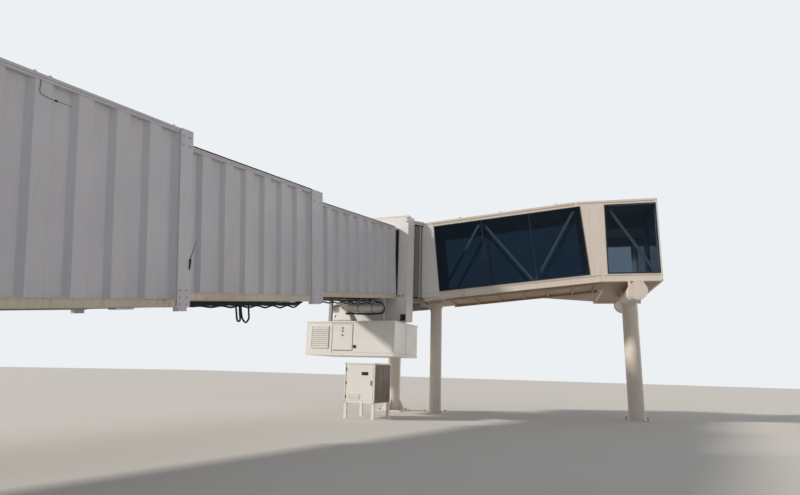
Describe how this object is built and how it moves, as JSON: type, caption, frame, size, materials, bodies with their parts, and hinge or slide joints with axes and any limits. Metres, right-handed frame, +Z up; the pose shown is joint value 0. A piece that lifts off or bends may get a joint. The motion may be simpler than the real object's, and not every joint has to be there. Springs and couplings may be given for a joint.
{
  "type": "jet bridge",
  "caption": "Passenger boarding bridge with a sloped glazed walkway, a round rotunda, ribbed telescoping tunnels and a cab on a wheeled drive column.",
  "frame": {"origin": "on the rotunda's axis at apron level, under the middle of its column's base plate", "axes": "+Z up; the tunnels run along -Y downhill to the cab; the walkway runs towards +X, turned 7.5 degrees towards +Y, uphill to the terminal"},
  "size_m": [11.6232, 30.6942, 7.7399],
  "materials": {
    "cream_paint": "satin cream paint",
    "grey_paint": "satin grey paint",
    "white_paint": "satin white paint",
    "tunnel_paint": "weathered light grey paint",
    "deck_cover": "ribbed dark rubber floor",
    "curtain_slats": "dull brown-grey slats",
    "tinted_glass": "dark blue tinted glass",
    "black_rubber": "matte black seal",
    "canopy_fabric": "coated canopy fabric",
    "tyre_rubber": "black tyre"
  },
  "bodies": {
    "base": {"rotunda_column": "cream_paint", "rotunda_drum": "grey_paint", "rotunda_floor": "deck_cover", "rotunda_roof": "cream_paint", "slat_curtains": "curtain_slats", "jamb_posts": "cream_paint", "walkway_floor": "cream_paint", "walkway_roof": "cream_paint", "walkway_frames": "cream_paint", "walkway_glass": "tinted_glass", "walkway_truss": "grey_paint", "link_walls": "cream_paint", "capital_column": "cream_paint", "crossbeam_column": "cream_paint", "pipe_crossbeam": "cream_paint", "power_cabinet": "white_paint"},
    "rotunda_turn": {"portal": "cream_paint", "vestibule": "cream_paint", "turn_ring": "grey_paint", "portal_gasket": "black_rubber", "air_unit": "white_paint", "air_unit_hangers": "grey_paint", "air_duct": "cream_paint", "tunnel_a_walls": "tunnel_paint", "tunnel_a_beams": "cream_paint", "tunnel_a_floor": "deck_cover", "tunnel_a_roof": "tunnel_paint"},
    "tunnel_b": {"tunnel_b_walls": "tunnel_paint", "tunnel_b_beams": "cream_paint", "tunnel_b_floor": "deck_cover", "tunnel_b_roof": "tunnel_paint", "tunnel_b_end_frame": "tunnel_paint"},
    "tunnel_c": {"tunnel_c_walls": "tunnel_paint", "tunnel_c_beams": "cream_paint", "tunnel_c_floor": "deck_cover", "tunnel_c_roof": "tunnel_paint", "tunnel_c_end_frame": "tunnel_paint", "cab_floor": "deck_cover", "cab_walls": "tunnel_paint", "cab_roof": "tunnel_paint", "cab_glass": "tinted_glass", "canopy": "canopy_fabric", "lift_sleeves": "grey_paint"},
    "drive": {"drive_legs": "grey_paint", "wheels": "tyre_rubber"}
  },
  "joints": [
    {"name": "rotunda_swing", "type": "hinge", "parent": "base", "child": "rotunda_turn", "pos_m": [0, 0, 3.5], "axis": [0, 0, 1], "range_deg": [-80, 5]},
    {"name": "tunnel_b_slide", "type": "slide", "parent": "rotunda_turn", "child": "tunnel_b", "axis": [0, -0.9928, -0.1198], "range_m": [-3.8, 1.5]},
    {"name": "tunnel_c_slide", "type": "slide", "parent": "tunnel_b", "child": "tunnel_c", "axis": [0, -0.9928, -0.1198], "range_m": [-3.8, 1.5]},
    {"name": "lift_slide", "type": "slide", "parent": "tunnel_c", "child": "drive", "axis": [0, 0, 1], "range_m": [-0.92, 0.37]}
  ],
  "couplings": [
    {"joint": "tunnel_c_slide", "follows": "tunnel_b_slide", "ratio": 1},
    {"joint": "lift_slide", "follows": "tunnel_b_slide", "ratio": 0.23958}
  ]
}
